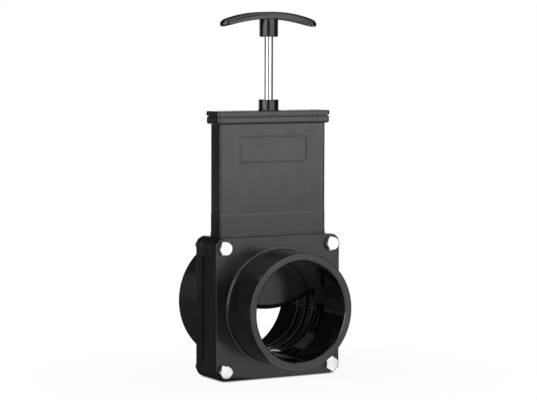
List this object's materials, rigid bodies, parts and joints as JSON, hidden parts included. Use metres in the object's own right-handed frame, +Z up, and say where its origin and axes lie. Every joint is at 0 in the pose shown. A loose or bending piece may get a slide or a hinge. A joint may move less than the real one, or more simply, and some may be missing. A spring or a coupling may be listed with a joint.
{
  "type": "knife gate waste valve",
  "caption": "Flat black waste valve with a square bolted body, round pipe sockets front and back, a tall bonnet and a T-handle on a rod that lifts a sliding gate blade.",
  "frame": {"origin": "on the floor under the middle of the bore, in the plane of the gate blade", "axes": "+Z up along the pull rod, +Y along the bore towards the rear socket, +X to the right seen from the front"},
  "size_m": [0.126, 0.1249, 0.3247],
  "materials": {
    "black_abs": "satin moulded black plastic",
    "blade_plastic": "smooth moulded dark plastic",
    "black_rubber": "soft black rubber",
    "polished_steel": "drawn and polished stainless steel",
    "zinc_steel": "bright zinc plated steel"
  },
  "bodies": {
    "valve": {"valve_body": "black_abs", "bonnet_cap": "black_abs", "rod_seal": "black_rubber", "front_hub_flange": "black_abs", "rear_hub_flange": "black_abs", "front_blade_seal": "black_rubber", "rear_blade_seal": "black_rubber", "bolt_upper_left": "zinc_steel", "bolt_upper_right": "zinc_steel", "bolt_lower_left": "zinc_steel", "bolt_lower_right": "zinc_steel", "nut_upper_left": "zinc_steel", "nut_upper_right": "zinc_steel", "nut_lower_left": "zinc_steel", "nut_lower_right": "zinc_steel"},
    "gate": {"gate_blade": "blade_plastic", "pull_rod": "polished_steel", "pull_handle": "black_abs"}
  },
  "joints": [
    {"name": "gate_slide", "type": "slide", "parent": "valve", "child": "gate", "axis": [0, 0, 1], "range_m": [-0.0425, 0.045]}
  ]
}
